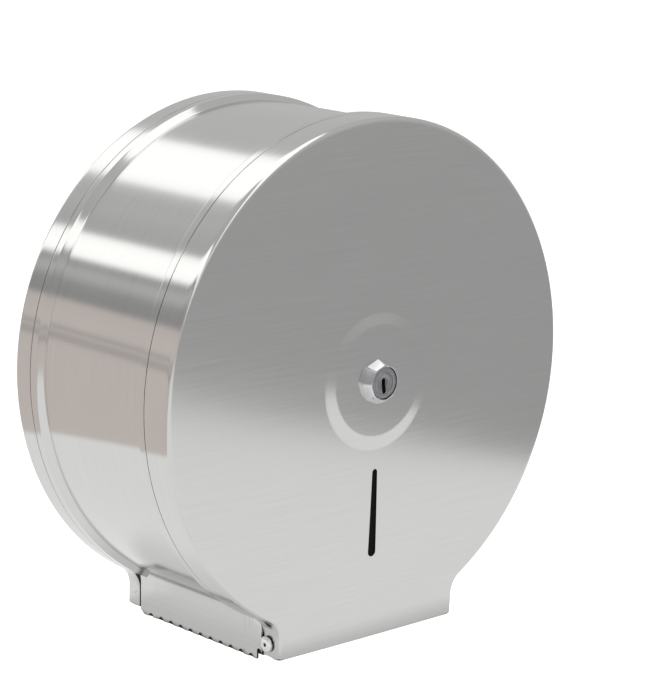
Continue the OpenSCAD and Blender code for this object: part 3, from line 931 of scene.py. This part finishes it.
def make_drum_shell(materials):
    shares = [-0.08, 0, 0.05, 0.1, 0.16, 0.24, 0.76, 0.84, 0.9, 0.95, 1, 1.08]
    edges = [shell_back, shell_back + 0.4 * mm, shell_back + 2 * mm]
    slope = [shell_back + lip_w + step_w * share for share in shares]
    depths = edges + slope + [shell_back + 11 * mm, shell_back + 25 * mm, (shell_back + shell_front) / 2]
    depths += [shell_back + shell_front - depth for depth in reversed(depths[:-1])]
    drum = loft("drum_band", drum_spokes, depths, drum_point, closed=False)
    face_way(drum, lambda face: face.normal.dot(Vector((face.center.x, 0, face.center.z))))
    thicken(drum)
    tabs = []
    for side in (-1, 1):
        inner, outer = both(side, tab_in, tab_in + sheet)
        tabs.append(slab((inner, shell_back + tab_inset, -tab_foot),
                         (outer, shell_front - tab_inset, -tab_top)))
    drum = join("drum_band", drum, *tabs)
    soften(drum, 0.12 * mm)
    smooth(drum)
    grain_map(drum)
    dress(drum, "housing", "brushed_sheet", materials["sheet"], "drum_shell")


# Cutter plates

tooth_pitch, notch_r, notch_start, notch_count = 8.2 * mm, 1.9 * mm, 8.8 * mm, 11
notch_depths = [shell_back + notch_start + i * tooth_pitch for i in range(notch_count)]
ear_r = 4.3 * mm
curl_r = 2.6 * mm
curl_fade = 6.5 * mm
curl_start = shell_back + curl_fade
slit_w, slit_top = 3.2 * mm, 135.8 * mm
plate_corner = 3 * mm
fold_rise = 0.3 * mm
folds = (25.1 * mm, 98.7 * mm)
plate_foot = 139.95 * mm
plate_bore_r = 2.05 * mm
lug_top, lug_foot = 123 * mm, 135 * mm


def plate_point(spoke, ring):
    """spoke counts along the depth, ring down the plate from its welded edge."""
    depth = plate_depths[spoke]
    kind, value = ring
    rear = ease(max(0, min(1, (folds[0] + 0.5 * mm - depth) / mm)))
    front = ease(max(0, min(1, (depth - folds[1] + 0.5 * mm) / mm)))
    rise = fold_rise * (rear + front)
    radius = rim_r - step_h
    curl_x = plate_in + curl_r
    curl_z = -math.sqrt((radius + curl_r) ** 2 - curl_x ** 2)
    if kind == "down":
        return at(plate_in + rise, depth, curl_z + (-plate_bottom - curl_z) * value)
    meet = math.atan2(-curl_z, curl_x)
    turn = meet * (1 - value)
    x, z = curl_x - curl_r * math.cos(turn), curl_z + curl_r * math.sin(turn)
    behind = ease(max(0, min(1, (depth - shell_back) / (curl_start - shell_back))))
    ahead = ease(max(0, min(1, (shell_front - depth) / curl_fade)))
    curled = min(behind, ahead)
    sink = max(0, shell_back + plate_corner - depth)
    top = lip_drop + plate_corner - math.sqrt(max(0, plate_corner ** 2 - sink ** 2))
    if depth > shell_front:
        top = plate_top
    flat_z = -top + (curl_z + top) * value
    return at((x - plate_in) * curled + plate_in + rise * value, depth, z * curled + flat_z * (1 - curled))


plate_depths = [shell_back + 0.1 * mm + 0.6 * mm * i for i in range(20)]
plate_depths += [27 * mm + i * 4 * mm for i in range(18)]
plate_depths += [96.5 * mm + 0.6 * mm * i for i in range(17)]
plate_depths += [shell_front + 0.9 * mm + i * 2.9 * mm for i in range(6)]
plate_depths = sorted(plate_depths)


def make_cutter_plate(side, name, node, materials):
    rings = [("curl", i / 6) for i in range(7)] + [("down", i / 5) for i in range(1, 6)]
    plate = loft(name, len(plate_depths), rings, plate_point, closed=False)
    face_way(plate, lambda face: face.normal.x)
    thicken(plate, offset=1)
    outer, inner = plate_out + 8 * mm, plate_in - 3 * mm
    above = 110 * mm
    ahead = slab((inner, plate_front, -plate_bottom - 3 * mm), (outer, plate_front + 20 * mm, -above))
    cut(ahead, pin(ear_r, inner - mm, outer + mm, pivot_depth, pivot_drop))
    cut(plate, ahead)
    round_depth, round_drop = plate_front - plate_corner, plate_top + plate_corner
    bend = slab((inner, round_depth, -round_drop), (outer, plate_front + mm, -above))
    cut(bend, pin(plate_corner, inner - mm, outer + mm, round_depth, round_drop))
    cut(plate, bend)
    slit = slab((inner, plate_front - slit_w, -plate_bottom - mm), (outer, plate_front, -slit_top))
    cut(slit, pin(slit_w / 2, inner, outer, plate_front - slit_w / 2, slit_top, 40), "UNION")
    cut(plate, slit)
    for depth in notch_depths:
        cut(plate, pin(notch_r, inner, outer, depth, plate_bottom, 32))
    corner = slab((inner, -8 * mm, -8 * mm), (outer, 8 * mm, 0))
    lean = Matrix.Rotation(math.atan2(plate_bottom - mouth_drop, plate_corner), 4, "X")
    corner.data.transform(Matrix.Translation(at(0, shell_back, -mouth_drop)) @ lean)
    cut(plate, corner)
    cut(plate, pin(plate_bore_r, inner, outer, pivot_depth, pivot_drop))
    lug_in = mouth_half - 2 * sheet
    foot_back = shell_back + 0.4 * mm
    lug = slab((lug_in, rear_rim - 9 * mm, -lug_foot), (lug_in + sheet, rear_rim + 1.2 * mm, -lug_top))
    foot = slab((lug_in, foot_back, -lug_foot), (plate_out - 0.1 * mm, foot_back + sheet, -lug_top))
    plate = join(name, plate, lug, foot)
    mirror_left(plate, side)
    soften(plate, 0.09 * mm)
    smooth(plate)
    grain_map(plate, along_depth=True)
    dress(plate, "housing", "brushed_sheet", materials["sheet"], node)


def make_notch_shade_film(side, name, materials):
    """A thin black film in the gap between a cutter plate and the flanks behind it, with a plug in each
    notch:
    painted shade that darkens the notches, the slit and the gaps behind the plate.
    """
    inner, outer = mouth_half + 0.05 * mm, mouth_half + 0.23 * mm
    film_top, slit_foot, rear_top, rear_foot = 129.4 * mm, 137.5 * mm, 121 * mm, 137.9 * mm
    slit_back, film_back = plate_front - slit_w, shell_back + plate_corner + 0.3 * mm
    film = slab((inner, film_back, -plate_foot), (outer, slit_back - 0.2 * mm, -film_top))
    behind_slit = slab((inner, slit_back - mm, -slit_foot), (outer, plate_front + 0.5 * mm, -film_top))
    cut(film, behind_slit, "UNION")
    for depth in notch_depths:
        # Each notch gets a black plug: painted shade in place of the dark seen through it
        notch_shade = pin(notch_r - 0.04 * mm, outer - 0.1 * mm, plate_out - 0.35 * mm, depth, plate_bottom, 32)
        cut(notch_shade, slab((inner, depth - 3 * mm, -plate_bottom - 3 * mm),
                        (plate_out, depth + 3 * mm, -plate_bottom + 0.05 * mm)))
        cut(film, notch_shade, "UNION")
    flank_in = mouth_half - sheet
    cut(film, slab((flank_in + 0.02 * mm, flank_front + 0.05 * mm, -rear_foot),
                   (flank_in + 0.2 * mm, shell_back + 0.3 * mm, -rear_top)), "UNION")
    cut(film, pin(2.3 * mm, inner - mm, outer + mm, pivot_depth, pivot_drop))
    film.name = film.data.name = name
    mirror_left(film, side)
    dress(film, "housing", "washer_plastic", materials["washer"])


# Turned pieces

def turned(name, profile, centre=(0, 0, 0), axis="y", sides=64):
    """Turns a profile of (radius, distance along the axis) round an axis through the centre."""
    centre = Vector(centre)

    def point(spoke, ring):
        radius, along = ring
        turn = math.tau * spoke / sides
        across, up = radius * math.cos(turn), radius * math.sin(turn)
        if axis == "y":
            return centre + Vector((across, -along, up))
        return centre + Vector((along, across, up))

    obj = loft(name, sides, profile, point, start="fill", end="fill")
    face_way(obj, lambda face: 1)
    return obj


def hinge_rivet(side, name, node, materials):
    """A blind rivet: its blind end, shank and domed head, and the stub of its mandrel."""
    dome_r, dome_h, dome_edge, dome_steps = 4 * mm, 1.1 * mm, 0.25 * mm, 8
    shank_r, mandrel_r = 2 * mm, 0.98 * mm
    blind_r, blind = 2.75 * mm, 2 * mm
    washer_in = mouth_half - sheet - plate_gap - 0.8 * mm
    blind_end = washer_in - blind
    profile = [(0.9 * mm, blind_end), (1.9 * mm, blind_end + 0.1 * mm),
               (blind_r - 0.15 * mm, blind_end + 0.6 * mm), (blind_r, washer_in - 0.8 * mm),
               (blind_r - 0.2 * mm, washer_in - 0.1 * mm), (shank_r + 0.1 * mm, washer_in),
               (shank_r, washer_in), (shank_r, plate_out), (dome_r - 0.1 * mm, plate_out),
               (dome_r, plate_out + 0.1 * mm), (dome_r, plate_out + dome_edge)]
    lip_r = mandrel_r + 0.2 * mm
    for i in range(1, dome_steps + 1):
        turn = i / dome_steps * math.pi / 2
        radius = lip_r + (dome_r - lip_r) * math.cos(turn)
        profile.append((radius, plate_out + dome_edge + (dome_h - dome_edge) * math.sin(turn)))
    dome_top, hole_end = plate_out + dome_h, plate_out - 0.6 * mm
    profile += [(mandrel_r + 0.05 * mm, dome_top - 0.06 * mm), (mandrel_r, dome_top - 0.2 * mm),
                (mandrel_r, hole_end), (0.2 * mm, hole_end)]
    centre = Vector((0, hinge.y, hinge.z))
    rivet = turned(name, profile, centre, axis="x", sides=56)
    mirror_left(rivet, side)
    smooth(rivet, 35)
    dress(rivet, "housing", "rivet_metal", materials["rivet"], node)
    stub_r = mandrel_r - 0.02 * mm
    stub_profile = [(stub_r, plate_out - 0.5 * mm), (stub_r, plate_out + 0.3 * mm),
                    (0.5 * mm, plate_out + 0.1 * mm)]
    stub = turned(name + "_stub", stub_profile, centre, axis="x", sides=32)
    mirror_left(stub, side)
    dress(stub, "housing", "plug_metal", materials["stub"])


# Lock

head_r, head_front_r, head_h = 11.75 * mm, 9.6 * mm, 5 * mm
facets, facet_share, facet_front_share = 8, 0.95, 0.94
barrel_r, barrel_flat = 9.5 * mm, 8.36 * mm
barrel_back = -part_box("lock_housing")[1].y
thread_pitch, thread_depth, thread_steps, thread_sides = 1 * mm, 0.45 * mm, 68, 72
plug_back, plug_front = -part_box("lock_plug")[1].y, -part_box("lock_plug")[0].y
plug_face_r, plug_face_t, plug_r, plug_clear = 8.5 * mm, 1.6 * mm, 6.5 * mm, 0.1 * mm
cam_front = barrel_back - 3.6 * mm
key_half, key_top, key_foot, key_depth = 1.25 * mm, 1.1 * mm, 4.4 * mm, 13 * mm
collar_r, collar_depth, collar_rise = 2.5 * mm, 0.75 * mm, 0.4 * mm


def plug_bore(radius, back, front):
    return rod(radius + plug_clear, at(0, back, 0), at(0, front, 0), 96)


def make_lock_housing(materials):
    """The lock's head with its facets, and the threaded barrel behind it."""
    front = plateau + head_h
    corner = math.cos(math.pi / facets)
    bpy.ops.mesh.primitive_cone_add(vertices=facets, radius1=head_r * facet_share / corner,
                                    radius2=head_front_r * facet_front_share / corner, depth=head_h,
                                    location=at(0, plateau + head_h / 2, 0), rotation=(math.pi / 2, 0, 0))
    head = bpy.context.object
    settle(head)
    head.name = "lock_head"
    round_profile = [(head_r, plateau), (head_r - 0.15 * mm, plateau + 0.6 * mm),
                     (head_front_r + 0.1 * mm, front - 0.3 * mm), (head_front_r - 0.15 * mm, front)]
    cut(head, turned("round_head", round_profile, sides=96), "INTERSECT")
    cut(head, plug_bore(plug_face_r, plug_front - plug_face_t - plug_clear, front + mm))
    cut(head, plug_bore(plug_r, plateau - mm, front + mm))
    soften(head, 0.22 * mm, 3, 18)
    length = plateau - barrel_back
    rings = [barrel_back + length * i / thread_steps for i in range(thread_steps + 1)]

    def thread_point(spoke, along):
        share = spoke / thread_sides
        phase = (along / thread_pitch + share) % 1
        fade = min(1, (along - barrel_back) / mm, (plateau - along) / (1.2 * mm))
        radius = barrel_r - thread_depth * fade * (1 - abs(2 * phase - 1)) - 0.01 * mm
        x, z = radius * math.cos(math.tau * share), radius * math.sin(math.tau * share)
        return at(x, along, max(-barrel_flat, min(barrel_flat, z)))

    thread = loft("thread", thread_sides, rings, thread_point, start="fill", end="fill")
    face_way(thread, lambda face: 1)
    cut(thread, plug_bore(plug_r, barrel_back - mm, plateau + mm))
    lock = join("lock_body", head, thread)
    smooth(lock, 25)
    dress(lock, "cover", "lock_chrome", materials["chrome"], "lock_housing")


def make_lock_plug(materials):
    """The plug: cam stem, barrel, and a face with a groove, a collar and a keyhole."""
    edge_r, face_back = plug_face_r - 0.25 * mm, plug_front - plug_face_t
    stem_r, shoulder = 3 * mm, 4.5 * mm
    profile = [(stem_r - 0.4 * mm, plug_back), (stem_r, plug_back + 0.4 * mm), (stem_r, cam_front),
               (shoulder, cam_front), (shoulder, barrel_back), (plug_r - 0.2 * mm, barrel_back),
               (plug_r, barrel_back + 0.2 * mm), (plug_r, face_back), (edge_r - 0.1 * mm, face_back),
               (edge_r, face_back + 0.1 * mm), (edge_r, plug_front - 0.3 * mm),
               (edge_r - 0.3 * mm, plug_front)]
    # The face from its edge to its middle, as radius and how far it lies back, in millimetres
    profile += [(radius * mm, plug_front - drop * mm) for radius, drop in [
        (6.5, 0), (6.3, 0.15), (6.2, 0.45), (5.7, 0.45), (5.5, 0.25), (4.4, 0.2), (3, 0.45), (0.6, 0.6)]]
    plug = turned("lock_plug_face", profile, sides=96)
    back, front = plug_front - key_depth, plug_front + mm
    key = slab((-key_half, back, -key_foot), (key_half, front, key_top))
    for z in (key_top, -key_foot):
        cut(key, rod(key_half, at(0, back, z), at(0, front, z), 40), "UNION")
    collar_profile = [(collar_r, plug_front - collar_depth), (collar_r, front)]
    cut(plug, turned("key_collar", collar_profile, centre=at(0, 0, collar_rise), sides=48))
    cut(plug, key)
    soften(plug, edge_round)
    smooth(plug, 30)
    dress(plug, "plug", "plug_metal", materials["plug"], "lock_plug")


# Pieces whose frame shape is right, with their edges eased

def ease_node(node, name, edge, slot, material, body):
    """A copy of a frame piece, welded and with its sharp edges broken."""
    piece = bpy.data.objects.new(name, frame["nodes"][node].data.copy())
    bpy.context.scene.collection.objects.link(piece)
    edit(piece)
    bpy.ops.mesh.remove_doubles(threshold=0.002 * mm)
    bpy.ops.mesh.dissolve_limited(angle_limit=math.radians(1))
    leave()
    soften(piece, edge, angle=40)
    smooth(piece, 35)
    dress(piece, body, slot, material, node)


def make_inner_pieces(materials):
    """Each row: frame node, piece, width of its broken edges in millimetres, slot, finish, body."""
    for node, name, edge, slot, finish, body in [
            ("shell_straps", "straps", 0.1, "inner_sheet", "inner", "housing"),
            ("spindle_flange", "spindle_base", 0.25, "inner_sheet", "inner", "housing"),
            ("spindle_rivets", "spindle_rivet_set", 0.25, "rivet_metal", "rivet", "housing"),
            ("spindle_tube", "spindle_sleeve", 0.25, "inner_sheet", "inner", "housing"),
            ("latch_plate", "latch_disc", 0.2, "inner_sheet", "inner", "housing"),
            ("hinge_washers", "hinge_washer_pair", 0.15, "washer_plastic", "washer", "housing"),
            ("hub_washer", "thrust_washer", 0.3, "washer_plastic", "washer", "housing"),
            ("hub_retainer", "hub_stop_ring", 0.25, "inner_sheet", "inner", "housing"),
            ("roll_hub", "hub_sleeve", 0.45, "hub_plastic", "hub", "hub"),
            ("lock_washer", "lock_ring", 0.15, "zinc_plate", "zinc", "cover"),
            ("lock_nut", "lock_hex", 0.25, "zinc_plate", "zinc", "cover"),
            ("plug_clip", "plug_ring", 0.15, "zinc_plate", "zinc", "plug"),
            ("lock_cam", "cam_arm", 0.2, "zinc_plate", "zinc", "plug"),
            ("cam_washer", "cam_ring", 0.12, "zinc_plate", "zinc", "plug"),
            ("cam_nut", "cam_hex", 0.2, "zinc_plate", "zinc", "plug")]:
        ease_node(node, name, edge * mm, slot, materials[finish], body)


def main():
    make_camera()
    make_studio()
    materials = make_materials()
    make_front_cover(materials)
    make_window_strip(materials)
    make_back_plate(materials)
    make_drum_shell(materials)
    make_cutter_plate(-1, "toothed_plate_left", "cutter_plate_left", materials)
    make_cutter_plate(1, "toothed_plate_right", "cutter_plate_right", materials)
    hinge_rivet(-1, "rivet_left", "hinge_rivet_left", materials)
    hinge_rivet(1, "rivet_right", "hinge_rivet_right", materials)
    make_notch_shade_film(-1, "shade_film_left", materials)
    make_notch_shade_film(1, "shade_film_right", materials)
    make_lock_housing(materials)
    make_lock_plug(materials)
    make_inner_pieces(materials)


main()
